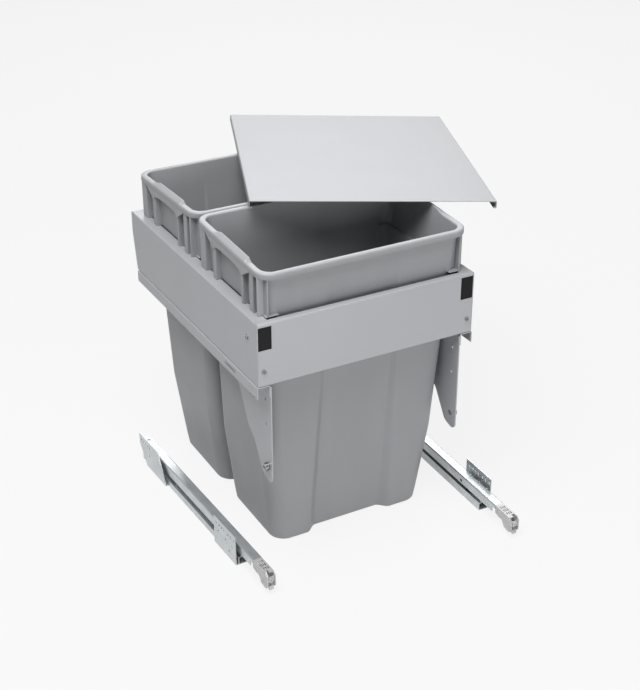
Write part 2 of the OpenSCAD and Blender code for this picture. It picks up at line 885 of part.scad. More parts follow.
module bin_shell() {
  round = bin_rim_round;
  foot = bin_foot_round;
  low = [bin_crease_z * 0.985, bin_crease_z * 1.015, ledge_z];
  rings = concat(
    [
      level(wall_ring(0, foot), 0),
      level(wall_ring(foot * 0.3, foot * 0.3), foot * 0.3),
      level(wall_ring(foot, 0), foot),
    ],
    [for (z = low) level(wall_ring(z, 0), z)],
    [
      level(wall_ring(ledge_z + bite, 0), ledge_z + bite),
      level(wall_ring(recess_top_z, 0), recess_top_z),
      risen(wall_ring(rim_under_z, 0), rim_under_z, 0),
      risen(rim_ring(0), rim_under_z, 0),
      risen(rim_ring(0), bin_h - round, 0),
      risen(rim_ring(round * 0.3), bin_h - round * 0.3, 0.06),
      risen(rim_ring(round), bin_h, 0.2),
      risen(wall_ring(bin_h, bin_wall - round), bin_h, 0.96),
      risen(wall_ring(bin_h, bin_wall - round * 0.3), bin_h - round * 0.3, 1),
      risen(wall_ring(bin_h - round, bin_wall), bin_h - round, 1),
      level(wall_ring(recess_top_z, bin_wall), recess_top_z),
      level(wall_ring(ledge_z + bite, bin_wall), ledge_z + bin_wall),
      level(wall_ring(ledge_z, bin_wall), ledge_z + bin_wall - bite),
    ],
    [for (i = [1, 0]) level(wall_ring(low[i], bin_wall), low[i])],
    [
      level(wall_ring(bin_floor + foot, bin_wall), bin_floor + foot),
      level(wall_ring(bin_floor, bin_wall + foot), bin_floor),
    ]
  );
  n = len(rings[0]);
  top = len(rings) - 1;
  // the bottom and the inner floor are fans round a middle point
  under = len(rings) * n;
  faces = concat(
    [for (j = [0 : n - 1]) [j, (j + 1) % n, under]],
    [
      for (i = [0 : top - 1])
        for (j = [0 : n - 1])
          [i * n + j, (i + 1) * n + j, (i + 1) * n + (j + 1) % n, i * n + (j + 1) % n]
    ],
    [for (j = [0 : n - 1]) [top * n + (j + 1) % n, top * n + j, under + 1]]
  );
  polyhedron(
    points = concat([for (ring = rings) each ring], [[0, 0, 0], [0, 0, bin_floor]]),
    faces = faces
  );
}

// Arched apron that hangs flush under a side rim, below the grip
module bin_apron(side) {
  half = apron_l / 2;
  outline = concat(
    [[-half - apron_run, -bite], [-half, apron_drop]],
    [
      for (i = [0 : 2 * arc_steps])
        let (a = 180 - 180 * i / (2 * arc_steps))
        [half * 0.93 * cos(a), apron_drop - apron_arch * sqrt(sin(a))]
    ],
    [[half, apron_drop], [half + apron_run, -bite]]
  );
  along_x(-bin_rim_w / 2, rib_t)
    polygon([
      for (p = outline)
        let (y = side_y(side, p[0] - apron_offset))
        [y, rim_under_z + rim_lift(y) - p[1]]
    ]);
}

// Rib between the wall and the rim whose foot stands on the frame's flange; a wide one is hollow
module bin_rib(side, s, width) {
  y = side_y(side, s);
  outer_x = -bin_rim_w / 2 + rib_inset;
  top_z = rim_under_z + rim_lift(y) + bin_rim_h / 4;
  low_x = bin_wall / 2 - bin_wall_x(y, ledge_z + bite);
  high_x = bin_wall / 2 - bin_wall_x(y, rim_under_z);
  difference() {
    along_y(y - width / 2, width)
      polygon([[low_x, ledge_z], [outer_x, ledge_z], [outer_x, top_z], [high_x, top_z]]);
    if (width > 3 * rib_t)
      along_y(y - width / 2 + rib_t, width - 2 * rib_t)
        polygon([
          [low_x + cut, ledge_z - cut],
          [outer_x + rib_t, ledge_z - cut],
          [outer_x + rib_t, rim_under_z],
          [low_x + cut, rim_under_z],
        ]);
  }
}

module bin() {
  color(bin_grey)
    union() {
      bin_shell();
      for (side = [-1, 1])
        on_side(side) {
          bin_apron(side);
          for (share = rib_shares)
            bin_rib(side, share[0] * bin_rim_d, share[1] * bin_rim_d);
        }
    }
}

module front_bin() {
  bin();
}

module rear_bin() {
  translate([0, rear_bin_y, 0])
    rotate([0, 0, 180])
      bin();
}

// Lid

module lid() {
  half = lid_w / 2;
  path = [
    [-half + lid_return_w, -lid_flange_h],
    [-half, -lid_flange_h],
    [-half, 0],
    [half, 0],
    [half, -lid_flange_h],
    [half - lid_return_w, -lid_flange_h],
  ];
  color(lid_grey)
    translate([bin_rim_w / 2 - lid_in, rear_bin_y + lid_behind, bin_h + lid_lift])
      rotate([lid_pitch, lid_roll, lid_turn])
        along_y(-lid_d / 2, lid_d)
          polygon(fold(path, -lid_t, bend_r));
}

// Runner, drawn as the left one, with its mounting plates on the -X side

front_plate_hole_shares = [0.07, 0.22, 0.34, 0.52, 0.63, 0.74, 0.88];
lower_hole_shares = [[0.14, 0.55], [0.45, 0.55], [0.8, 0.55], [0.3, 0.26]];
rear_plate_hole_shares = [0.42, 0.54, 0.66, 0.78, 0.9];

module plate_hole(start, along, share_z) {
  translate([0, start + along, share_z])
    rod_x(-cut, runner_t + 2 * cut, plate_hole_d);
}

module cabinet_member() {
  length = cabinet_member_l;
  difference() {
    union() {
      // base profile
      along_y(cabinet_start, length)
        polygon(fold(
          [
            [profile_x, cabinet_outer_h],
            [profile_x, 0],
            [profile_in_x, 0],
            [profile_in_x, cabinet_inner_h],
          ],
          runner_t,
          bend_r
        ));
      // front mounting plate, folded up from the base
      along_y(cabinet_start, front_plate_l)
        polygon(fold([[0, plate_h], [0, 0], [profile_x + 2 * runner_t, 0]], runner_t, bend_r));
      // rear mounting plate with slanted edges
      intersection() {
        along_y(rear_plate_end - 1.38 * rear_plate_l, 1.38 * rear_plate_l)
          polygon(fold([[0, plate_h], [0, 0], [profile_x + 2 * runner_t, 0]], runner_t, bend_r));
        along_x(-cut, profile_x + 2 * runner_t + 2 * cut)
          polygon([
            [rear_plate_end - 1.38 * rear_plate_l, -cut],
            [rear_plate_end - 0.41 * rear_plate_l, -cut],
            [rear_plate_end - bite, plate_h * 0.65],
            [rear_plate_end - bite, plate_h + cut],
            [rear_plate_end - rear_plate_l, plate_h + cut],
            [rear_plate_end - 1.38 * rear_plate_l, plate_h * 0.1],
          ]);
      }
    }
    for (share = front_plate_hole_shares)
      plate_hole(cabinet_start, share * front_plate_l, plate_hole_z);
    for (share = lower_hole_shares)
      plate_hole(cabinet_start, share[0] * front_plate_l, share[1] * plate_h);
    for (share = rear_plate_hole_shares)
      plate_hole(rear_plate_end - rear_plate_l, share * rear_plate_l, plate_hole_z);
    plate_hole(rear_plate_end - rear_plate_l, 0.45 * rear_plate_l, 0.5 * plate_h);
    // slots in the floor of the profile
    for (share = [0.3, 0.62])
      translate([profile_mid_x, cabinet_start + share * length, 0])
        translate([-runner_w / 8, 0, -cut])
          cube([runner_w / 4, runner_w, runner_t + 2 * cut]);
  }
}

module middle_member() {
  half = middle_flange_w / 2;
  along_y(middle_start, middle_member_l)
    translate([profile_mid_x, 0])
      polygon([
        [-half, middle_z],
        [half, middle_z],
        [half, middle_z + runner_t],
        [runner_t / 2, middle_z + runner_t],
        [runner_t / 2, upper_z - runner_t],
        [half, upper_z - runner_t],
        [half, upper_z],
        [-half, upper_z],
        [-half, upper_z - runner_t],
        [-runner_t / 2, upper_z - runner_t],
        [-runner_t / 2, middle_z + runner_t],
        [-half, middle_z + runner_t],
      ]);
}

module drawer_member() {
  loop_l = runner_w * 0.6;
  loop_h = runner_t;
  foot_z = runner_h - drawer_flange_h;
  difference() {
    along_y(drawer_start, drawer_member_l)
      polygon(fold(
        [
          [drawer_x, foot_z],
          [drawer_x, runner_h],
          [profile_in_x, runner_h],
          [profile_in_x, foot_z],
        ],
        -runner_t,
        bend_r
      ));
    // neck behind the locking device: the flanges are cut back
    for (x = [drawer_x - cut, profile_in_x - runner_t - cut])
      translate([x, drawer_start - cut, foot_z - cut])
        cube([runner_t + 2 * cut, drawer_neck + cut, drawer_flange_h * 0.6 + cut]);
    // square hole in the inner flange
    translate([profile_in_x - runner_t - cut, middle_start + 2 * coupling_l * 0.5, foot_z + runner_t * 2])
      cube([runner_t + 2 * cut, runner_t * 4, runner_t * 3]);
    // slits beside the embossed loops of the inner flange
    for (i = [0 : 2])
      translate([
        profile_in_x - runner_t - cut,
        drawer_start + drawer_neck * 2 + i * loop_l / 2,
        foot_z + runner_t
      ])
        cube([runner_t + 2 * cut, loop_h / 2, drawer_flange_h * 0.5]);
    // notch and hole at the rear end for the rear hook of the drawer
    translate([profile_mid_x, drawer_start + drawer_member_l - runner_w * 0.7, 0])
      translate([0, 0, runner_h - runner_t - cut])
        cylinder(h = runner_t + 2 * cut, d = runner_w * 0.35, $fn = 32);
  }
}

module carriage(start, z0, space) {
  cage_h = space * 0.45;
  pitch = carriage_l / roller_count;
  roller_d = space - 2 * roller_play;
  difference() {
    translate([profile_mid_x - carriage_w / 2, start, z0 + (space - cage_h) / 2])
      cube([carriage_w, carriage_l, cage_h]);
    for (i = [0 : roller_count - 1])
      translate([
        profile_mid_x - roller_l / 2 - roller_play,
        start + (i + 0.5) * pitch - roller_d / 2 - roller_play,
        z0 - cut
      ])
        cube([roller_l + 2 * roller_play, roller_d + 2 * roller_play, space + 2 * cut]);
  }
}

module rollers(start, z0, space) {
  pitch = carriage_l / roller_count;
  for (i = [0 : roller_count - 1])
    translate([profile_mid_x - roller_l / 2, start + (i + 0.5) * pitch, z0 + space / 2])
      rod_x(0, roller_l, space - 2 * roller_play);
}

damper_z = cabinet_inner_h;
damper_h = runner_h - drawer_flange_h - cabinet_inner_h - 2 * part_play;
damper_in = profile_in_x - runner_t;
damper_out = profile_in_x - damper_w;
catch_start = cabinet_start + catch_travel;
damper_start = catch_start + catch_l + part_play;
damper_rod_z = damper_z + damper_h / 2;

module damper_housing() {
  difference() {
    along_y(damper_start, damper_l)
      polygon([
        [damper_out, cabinet_inner_h / 2],
        [damper_in, cabinet_inner_h / 2],
        [damper_in, damper_z],
        [profile_in_x, damper_z],
        [profile_in_x, damper_z + damper_h],
        [damper_out, damper_z + damper_h],
      ]);
    translate([damper_out + damper_w / 2, 0, damper_rod_z])
      rod_y(damper_start - cut, damper_l * 0.8, damper_rod_d + 2 * part_play);
  }
}

// Catch with a notch for the drawer's hook, on the damper's rod
module closing_catch() {
  difference() {
    translate([damper_out, catch_start, damper_z + part_play])
      cube([damper_w, catch_l, damper_h - part_play]);
    translate([damper_out - cut, catch_start + catch_l * 0.3, damper_z + damper_h * 0.7])
      cube([damper_w + 2 * cut, catch_l * 0.3, damper_h]);
  }
  translate([damper_out + damper_w / 2, 0, damper_rod_z])
    rod_y(catch_start + catch_l - bite, damper_l * 0.6, damper_rod_d);
}

// Locking device: side cheeks, a slotted cover, a front bridge and a tongue under the drawer member
coupling_side_shares = [
  [0, 0.2], [0.05, 0.06], [0.2, 0], [0.42, 0.06], [0.52, 0.3], [0.6, 0.42], [0.8, 0.42], [1, 0.5],
  [1, 1], [0.14, 1], [0, 0.8],
];

module coupling_body() {
  floor_z = runner_h - coupling_h;
  cover_z = runner_h - coupling_wall;
  outline = [for (p = coupling_side_shares) [p[0] * coupling_l, floor_z + p[1] * coupling_h]];
  slot_w = coupling_w * 0.13;
  difference() {
    union() {
      for (x = [coupling_x, coupling_x + coupling_w - coupling_wall])
        along_x(x, coupling_wall)
          polygon(outline);
      // slotted cover
      translate([coupling_x, coupling_l * 0.14, cover_z])
        cube([coupling_w, coupling_l * 0.86, coupling_wall]);
      // front bridge with the wheel's bearing
      translate([coupling_x, wheel_t + part_play, wheel_z - wheel_d * 0.6])
        cube([coupling_w, coupling_wall, wheel_d * 1.1]);
      // cross web
      translate([coupling_x, coupling_l * 0.45, runner_h - coupling_h * 0.3])
        cube([coupling_w, coupling_wall, coupling_h * 0.3 - bite]);
      // tongue that reaches under the drawer member
      translate([
        coupling_x + coupling_wall * 2,
        coupling_l - coupling_wall * 2,
        runner_h - runner_t - coupling_wall
      ])
        cube([coupling_w - 4 * coupling_wall, coupling_wall * 2 + coupling_l / 3, coupling_wall]);
    }
    // rows of slots in the cover
    for (i = [0 : 2])
      for (j = [0 : 2])
        translate([
          coupling_x + coupling_w * (0.2 + 0.24 * i),
          coupling_l * (0.34 + 0.19 * j),
          cover_z - cut
        ])
          cube([slot_w, coupling_l * 0.13, coupling_wall + 2 * cut]);
    // opening over the lever
    translate([coupling_x + coupling_wall, coupling_l * 0.14 - cut, cover_z - cut])
      cube([coupling_w * 0.36, coupling_l * 0.14 + cut, coupling_wall + 2 * cut]);
    // bearings
    translate([0, pivot_s, pivot_z])
      rod_x(coupling_x - cut, coupling_w + 2 * cut, pivot_d + 2 * part_play);
    translate([coupling_mid_x, 0, wheel_z])
      rod_y(wheel_t + part_play - cut, coupling_wall + 2 * cut, wheel_d * 0.45 + 2 * part_play);
  }
}

module release_lever() {
  floor_z = runner_h - coupling_h;
  x0 = coupling_mid_x - lever_w / 2;
  arm = pivot_d * 0.9;
  along_x(x0, lever_w)
    polygon([
      [pivot_s + arm, pivot_z + arm],
      [pivot_s - arm, pivot_z + arm],
      [coupling_l * 0.42, floor_z + coupling_h * 0.22],
      [wheel_t, floor_z + coupling_h * 0.16],
      [0, floor_z + coupling_h * 0.06],
      [0, floor_z - coupling_wall],
      [coupling_wall, floor_z - coupling_wall],
      [coupling_wall * 2, floor_z + coupling_h * 0.04],
      [coupling_l * 0.45, floor_z + coupling_h * 0.1],
      [pivot_s, pivot_z - arm],
      [pivot_s + arm, pivot_z - arm],
    ]);
  translate([0, pivot_s, pivot_z])
    rod_x(coupling_x + part_play, coupling_w - 2 * part_play, pivot_d);
}

module adjust_wheel() {
  translate([coupling_mid_x, 0, wheel_z])
    difference() {
      union() {
        rod_y(0, wheel_t, wheel_d);
        rod_y(wheel_t - bite, coupling_wall + 3 * part_play + bite, wheel_d * 0.45);
      }
      rod_y(-cut, wheel_t * 0.6 + cut, wheel_d * 0.4);
    }
}

module runner_part(name, side) {
  at_runner(side) {
    if (name == "cabinet_member")
      color(zinc)
        cabinet_member();
    if (name == "middle_member")
      color(zinc)
        middle_member();
    if (name == "drawer_member")
      color(zinc)
        drawer_member();
    if (name == "lower_carriage")
      color(black)
        carriage(lower_start, runner_t, lower_space);
    if (name == "upper_carriage")
      color(black)
        carriage(upper_start, upper_z, upper_space);
    if (name == "lower_rollers")
      color(die_cast)
        rollers(lower_start, runner_t, lower_space);
    if (name == "upper_rollers")
      color(die_cast)
        rollers(upper_start, upper_z, upper_space);
    if (name == "damper_housing")
      color(black)
        damper_housing();
    if (name == "closing_catch")
      color(black)
        closing_catch();
    if (name == "coupling_body")
      color(die_cast)
        coupling_body();
    if (name == "release_lever")
      color(die_cast)
        release_lever();
    if (name == "adjust_wheel")
      color(die_cast)
        adjust_wheel();
  }
}

side_panel(-1);  // side_panel_left
side_panel(1);  // side_panel_right
front_panel();
rear_rail();
corner_block_front(-1);  // corner_block_front_left
corner_block_front(1);  // corner_block_front_right
corner_block_rear(-1);  // corner_block_rear_left
corner_block_rear(1);  // corner_block_rear_right
frame_screws();
runner_channel(-1);  // runner_channel_left
runner_channel(1);  // runner_channel_right
door_bracket(-1);  // door_bracket_left
door_bracket(1);  // door_bracket_right
bracket_rivets();
door_cam(-1);  // door_cam_left
door_cam(1);  // door_cam_right
front_bin();
rear_bin();
lid();
runner_part("cabinet_member", -1);  // cabinet_member_left
runner_part("middle_member", -1);  // middle_member_left
runner_part("drawer_member", -1);  // drawer_member_left
runner_part("lower_carriage", -1);  // lower_carriage_left
runner_part("upper_carriage", -1);  // upper_carriage_left
runner_part("lower_rollers", -1);  // lower_rollers_left
runner_part("upper_rollers", -1);  // upper_rollers_left
runner_part("damper_housing", -1);  // damper_housing_left
runner_part("closing_catch", -1);  // closing_catch_left
runner_part("coupling_body", -1);  // coupling_body_left
runner_part("release_lever", -1);  // release_lever_left
runner_part("adjust_wheel", -1);  // adjust_wheel_left
runner_part("cabinet_member", 1);  // cabinet_member_right
runner_part("middle_member", 1);  // middle_member_right
runner_part("drawer_member", 1);  // drawer_member_right
runner_part("lower_carriage", 1);  // lower_carriage_right
runner_part("upper_carriage", 1);  // upper_carriage_right
runner_part("lower_rollers", 1);  // lower_rollers_right
runner_part("upper_rollers", 1);  // upper_rollers_right
runner_part("damper_housing", 1);  // damper_housing_right
runner_part("closing_catch", 1);  // closing_catch_right
runner_part("coupling_body", 1);  // coupling_body_right
runner_part("release_lever", 1);  // release_lever_right
runner_part("adjust_wheel", 1);  // adjust_wheel_right
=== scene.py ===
"""Finishes and stage for a pull out waste unit: sheet steel frame, two bins, lid and runners.

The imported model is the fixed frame. Sizes are in metres, X to the right, Y to the rear and Z up,
with the origin at the middle of the front bin's base.
"""

import math

import bpy
import numpy as np
from mathutils import Matrix, Vector


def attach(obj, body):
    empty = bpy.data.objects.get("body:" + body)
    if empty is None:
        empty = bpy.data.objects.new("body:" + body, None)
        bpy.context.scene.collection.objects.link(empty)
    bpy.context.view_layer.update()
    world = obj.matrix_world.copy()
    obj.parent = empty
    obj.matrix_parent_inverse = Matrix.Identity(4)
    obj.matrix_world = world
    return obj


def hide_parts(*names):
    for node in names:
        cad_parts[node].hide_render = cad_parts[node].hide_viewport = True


bl_info = {
    "name": "Pull out waste unit",
    "version": (1, 0, 0),
    "blender": (4, 5, 0),
    "location": "3D View > Sidebar > Waste unit",
    "description": "Builds the bins and gives every piece of the waste unit its finish",
    "category": "Object",
}

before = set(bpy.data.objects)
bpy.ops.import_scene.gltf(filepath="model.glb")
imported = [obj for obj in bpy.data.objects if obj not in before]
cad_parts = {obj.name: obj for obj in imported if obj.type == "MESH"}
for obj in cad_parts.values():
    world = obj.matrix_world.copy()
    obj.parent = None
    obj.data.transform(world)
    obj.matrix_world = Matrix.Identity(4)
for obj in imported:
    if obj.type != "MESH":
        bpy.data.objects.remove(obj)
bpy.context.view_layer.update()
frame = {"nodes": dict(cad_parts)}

MM = 0.001
SIDES = ("left", "right")
SENSOR_WIDTH = 36.0
SMOOTH_BELOW = math.radians(34)


def linear(code):
    """An sRGB hex colour as linear red, green and blue."""
    srgb = np.array([int(code[i : i + 2], 16) for i in (1, 3, 5)]) / 255
    low, high = srgb / 12.92, ((srgb + 0.055) / 1.055) ** 2.4
    return tuple(float(c) for c in np.where(srgb <= 0.04045, low, high))


def length(name, text, default):
    """A size in metres, shown with its unit."""
    return bpy.props.FloatProperty(
        name=name, description=text, default=default, min=0.0, unit="LENGTH", precision=4
    )


def angle(name, text, degrees):
    """An angle, given in degrees and kept in radians."""
    return bpy.props.FloatProperty(
        name=name, description=text, default=math.radians(degrees), subtype="ANGLE"
    )


def power(name, text, watts):
    """The power of a light in watts."""
    return bpy.props.FloatProperty(
        name=name, description=text, default=watts, min=0.0, unit="POWER"
    )


def colour(name, text, code):
    """A colour, given as sRGB hex and kept as linear."""
    return bpy.props.FloatVectorProperty(
        name=name, description=text, default=linear(code), min=0.0, max=1.0, size=3, subtype="COLOR"
    )


class BinSizes(bpy.types.PropertyGroup):
    """Sizes of one bin, measured from the middle of its base."""

    height: length("Height", "Height of the rim at the recessed end", 0.5106)
    rim_rise: length("Rim rise", "Rise of the rim from the recessed end to the straight end", 0.008)
    rim_width: length("Rim width", "Width over the rim", 0.358)
    rim_depth: length("Rim depth", "Depth over the rim", 0.232)
    base_draw: length("Base draw", "Draw of the sides from the rim to the base", 0.0415)
    crease_height: length("Crease height", "Height at which the side walls change slope", 0.145)
    crease_draw: length("Crease draw", "Draw of the sides from the rim to the crease", 0.0245)
    crease_blend: length("Crease blend", "Half height of the soft change of slope", 0.0035)
    wall: length("Wall", "Wall thickness", 0.0022)
    floor: length("Floor", "Floor thickness", 0.003)
    side_lip: length("Side lip", "Overhang of the rim on the sides", 0.0085)
    side_draft: length("Side draft", "Draw of the sides down to their ledge", 0.0025)
    ledge: length("Ledge", "Width of the ledge that lies on the frame", 0.005)
    ledge_height: length("Ledge height", "Height of the ledge and of the ribs' feet", 0.4403)
    end_lip: length("End lip", "Overhang of the rim on the ends", 0.0075)
    front_rake: length("Front rake", "Lean of the recessed end wall over its height", 0.041)
    back_rake: length("Back rake", "Lean of the straight end wall over its height", 0.005)
    rim_height: length("Rim height", "Height of the rim", 0.010)
    rim_round: length("Rim rounding", "Rounding of the rim's upper edges", 0.0024)
    rim_radius: length("Rim radius", "Corner radius of the rim", 0.025)
    wall_radius: length("Wall radius", "Corner radius of the walls at the top", 0.019)
    base_radius: length("Base radius", "Corner radius of the base", 0.028)
    foot_round: length("Foot rounding", "Rounding of the lower edge", 0.004)
    recess_depth: length("Recess depth", "Depth of the end wall's recess at the base", 0.014)
    recess_top: length("Recess top", "Height at which the recess begins", 0.480)
    recess_width: length("Recess width", "Width of the recess at its bottom plane", 0.117)
    recess_mouth: length("Recess mouth", "Width of the recess with its sloping sides", 0.160)
    grip_length: length("Grip length", "Length of the grip's level part", 0.092)
    grip_rise: length("Grip rise", "Height of the grip over the rim", 0.0054)
    grip_run: length("Grip run", "Length of the grip's gentle end", 0.023)
    grip_step: length("Grip step", "Length of the grip's steep end", 0.0016)
    grip_offset: length("Grip offset", "Distance of the level part from the rim's middle", 0.014)
    apron_length: length("Apron length", "Length of the apron between its tips", 0.096)
    apron_offset: length("Apron offset", "Distance of its middle from the rim's middle", 0.0015)
    apron_run: length("Apron run", "Length over which the apron runs out", 0.028)
    apron_drop: length("Apron drop", "Height of the apron below the rim at its tips", 0.017)
    apron_arch: length("Apron arch", "Rise of the arch between the tips", 0.0095)
    rib: length("Rib", "Thickness of the hanging ribs and of the apron", 0.0024)
    rib_inset: length("Rib inset", "Distance of the ribs inside the rim's face", 0.0012)
    gap: length("Gap", "Gap between the two rims", 0.0026)


class Finishes(bpy.types.PropertyGroup):
    """Colours of the finishes."""

    frame: colour("Frame", "Silver grey lacquer of the frame", "#b9babe")
    lid: colour("Lid", "Light silver lacquer of the lid", "#acadb0")
    bins: colour("Bins", "Grey of the bins", "#9d9fa2")
    zinc: colour("Zinc sheet", "Zinc plated strip of the runners", "#dfe4e6")
    hardware: colour("Hardware", "Bright zinc of screws, rivets and adjusters", "#a5a6a8")
    cast: colour("Cast", "Grey of the locking devices", "#d6d6d7")
    black: colour("Black", "Black of the plastic pieces", "#040404")
    roller: colour("Rollers", "Off white of the rollers", "#d9d7d0")


class StageSettings(bpy.types.PropertyGroup):
    """The camera's place and the light's level."""

    camera: bpy.props.FloatVectorProperty(
        name="Camera",
        description="Place of the camera",
        default=(-0.9618, -1.7410, 1.3653),
        size=3,
        subtype="TRANSLATION",
    )
    yaw: angle("Yaw", "Turn of the view to the right of +Y", 28.673)
    pitch: angle("Pitch", "Angle of the view below the horizon", 28.356)
    focal: bpy.props.FloatProperty(
        name="Focal length",
        description="Focal length on a 36 mm sensor",
        default=72.68,
        min=10.0,
        unit="CAMERA",
    )
    ambient: bpy.props.FloatProperty(
        name="Ambient", description="Strength of the even light", default=0.14, min=0.0
    )
    key: power("Key", "Power of the light overhead", 84.0)
    fill: power("Fill", "Power of the light in front", 32.0)
    back: power("Back", "Power of the light behind", 30.0)



# Materials


def add(tree, kind, settings=None, links=None):
    """One node: settings give its options and input values, links where its inputs come from."""
    node = tree.nodes.new(kind)
    for name, value in (settings or {}).items():
        if isinstance(name, str) and hasattr(node, name):
            setattr(node, name, value)
        else:
            node.inputs[name].default_value = value
    for name, source in (links or {}).items():
        tree.links.new(source, node.inputs[name])
    return node


def new_material(name):
    """A node material with nothing but its output, its tree and the place on the object."""
    material = bpy.data.materials.new(name)
    material.use_nodes = True
    tree = material.node_tree
    tree.nodes.clear()
    place = add(tree, "ShaderNodeTexCoord").outputs["Object"]
    output = add(tree, "ShaderNodeOutputMaterial")
    return material, tree, place, output


def noise(tree, place, size, detail=2.0, stretch=(1, 1, 1)):
    """Noise whose grains are size metres across, stretched along the axes by the given factors."""
    factors = [1 / (size * s) for s in stretch]
    scaled = add(
        tree, "ShaderNodeVectorMath", {"operation": "MULTIPLY", 1: factors}, {0: place}
    )
    cloud = add(
        tree,
        "ShaderNodeTexNoise",
        {"Scale": 1.0, "Detail": detail},
        {"Vector": scaled.outputs[0]},
    )
    return cloud.outputs["Fac"]


def spread(tree, value, low, high):
    """The value 0.3 to 0.7 of a noise, where most of it lies, carried to low and high."""
    limits = {"From Min": 0.3, "From Max": 0.7, "To Min": low, "To Max": high}
    return add(tree, "ShaderNodeMapRange", limits, {"Value": value}).outputs["Result"]


def scaled_by(tree, value, factor, offset=0.0):
    """The value times the factor, plus the offset."""
    settings = {"operation": "MULTIPLY_ADD", 1: factor, 2: offset}
    return add(tree, "ShaderNodeMath", settings, {0: value}).outputs[0]


def tinted(tree, base, change, factor):
    """The base colour, darkened by the given share where factor is 1."""
    dark = [c * (1 - change) for c in base]
    settings = {"data_type": "RGBA", 6: (*base, 1), 7: (*dark, 1)}
    return add(tree, "ShaderNodeMix", settings, {0: factor}).outputs[2]


def join_surface(tree, output, settings, tint, rough, relief, strength, depth):
    """Joins a principled surface to the output; relief is a bump of that strength and depth."""
    bump = add(
        tree, "ShaderNodeBump", {"Strength": strength, "Distance": depth}, {"Height": relief}
    )
    links = {"Base Color": tint, "Roughness": rough, "Normal": bump.outputs["Normal"]}
    surface = add(tree, "ShaderNodeBsdfPrincipled", settings, links)
    tree.links.new(surface.outputs[0], output.inputs["Surface"])


def silver_lacquer(name, base, rough):
    """Powder coated sheet steel in silver: flakes give a soft sheen, over a slight orange peel."""
    material, tree, place, output = new_material(name)
    clouds = scaled_by(tree, noise(tree, place, 90 * MM, 3.0), 0.5, 0.25)
    flakes = noise(tree, place, 1.6 * MM, 1.0)
    # orange peel is about 1 mm across, drawn at 4 mm so that it still shows
    peel = noise(tree, place, 4 * MM, 1.0)
    tint = tinted(tree, base, 0.05, spread(tree, clouds, 0, 1))
    sheen = spread(tree, flakes, rough - 0.04, rough + 0.05)
    join_surface(tree, output, {"Metallic": 0.35}, tint, sheen, peel, 0.06, 0.2 * MM)
    return material


def moulded_polypropylene(name, base):
    """Injection moulded polypropylene: a fine grain, faint flow lines down the walls, scuffs."""
    material, tree, place, output = new_material(name)
    # the grain is about 0.3 mm, drawn at 1.2 mm so that it still shows
    grain = noise(tree, place, 1.2 * MM)
    flow = noise(tree, place, 30 * MM, stretch=(1, 1, 8))
    scuffs = noise(tree, place, 70 * MM, 1.0)
    tint = tinted(tree, base, 0.035, spread(tree, flow, 0, 1))
    sheen = spread(tree, scuffs, 0.33, 0.40)
    join_surface(tree, output, {"IOR": 1.49}, tint, sheen, grain, 0.08, 0.1 * MM)
    return material


def zinc_plated_strip(name, base):
    """Cold rolled strip, zinc plated and passivated: rolling lines and a cool, cloudy shine."""
    material, tree, place, output = new_material(name)
    rolling = noise(tree, place, 1.5 * MM, 3.0, (1, 40, 1))
    clouds = noise(tree, place, 22 * MM, 3.0)
    tint = tinted(tree, base, 0.16, spread(tree, clouds, 0, 1))
    sheen = spread(tree, rolling, 0.30, 0.42)
    join_surface(tree, output, {"Metallic": 0.85}, tint, sheen, rolling, 0.08, 0.1 * MM)
    return material


def bright_zinc(name, base):
    """Barrel plated steel hardware: a bright but slightly pitted shine."""
    material, tree, place, output = new_material(name)
    pits = noise(tree, place, 1.2 * MM, 3.0)
    tint = tinted(tree, base, 0.12, spread(tree, pits, 0, 1))
    sheen = spread(tree, pits, 0.16, 0.30)
    join_surface(tree, output, {"Metallic": 0.9}, tint, sheen, pits, 0.15, 0.1 * MM)
    return material


def tumbled_zinc_casting(name, base):
    """Zinc pressure casting, tumbled: a dull, slightly warm grey with a soft grain."""
    material, tree, place, output = new_material(name)
    grain = noise(tree, place, 1.4 * MM, 3.0)
    stains = noise(tree, place, 9 * MM)
    tint = tinted(tree, base, 0.14, spread(tree, stains, 0, 1))
    sheen = spread(tree, grain, 0.38, 0.52)
    join_surface(tree, output, {"Metallic": 0.55}, tint, sheen, grain, 0.2, 0.12 * MM)
    return material


def moulded_nylon(name, base, rough):
    """Moulded polyamide or acetal: an even colour with a faint satin grain."""
    material, tree, place, output = new_material(name)
    grain = noise(tree, place, 1.2 * MM)
    tint = tinted(tree, base, 0.1, spread(tree, grain, 0, 1))
    sheen = spread(tree, grain, rough - 0.04, rough + 0.06)
    settings = {"IOR": 1.5, "Specular IOR Level": 0.3}
    join_surface(tree, output, settings, tint, sheen, grain, 0.15, 0.1 * MM)
    return material


def matt_backdrop(name, base, lift):
    """Matt paper that keeps its shadows: the camera sees it lifted to white, mirrors by half."""
    material, tree, place, output = new_material(name)
    tint = tinted(tree, base, 0.01, spread(tree, noise(tree, place, 0.4), 0, 1))
    paper = add(tree, "ShaderNodeBsdfDiffuse", {}, {"Color": tint})
    glow = add(tree, "ShaderNodeEmission", {"Color": (1, 1, 1, 1), "Strength": 1.0})
    path = add(tree, "ShaderNodeLightPath")
    mirrored = scaled_by(tree, path.outputs["Is Glossy Ray"], 0.5)
    seen = add(
        tree,
        "ShaderNodeMath",
        {"operation": "MAXIMUM"},
        {0: path.outputs["Is Camera Ray"], 1: mirrored},
    )
    share = scaled_by(tree, seen.outputs[0], lift)
    mix = add(
        tree, "ShaderNodeMixShader", {}, {0: share, 1: paper.outputs[0], 2: glow.outputs[0]}
    )
    tree.links.new(mix.outputs[0], output.inputs["Surface"])
    return material


# Surfaces

# points of a ring in a corner and on a side of the recess, and of the quarter circles up a wall
CORNER_POINTS, SLOPE_POINTS, QUARTER_POINTS = 14, 15, 7
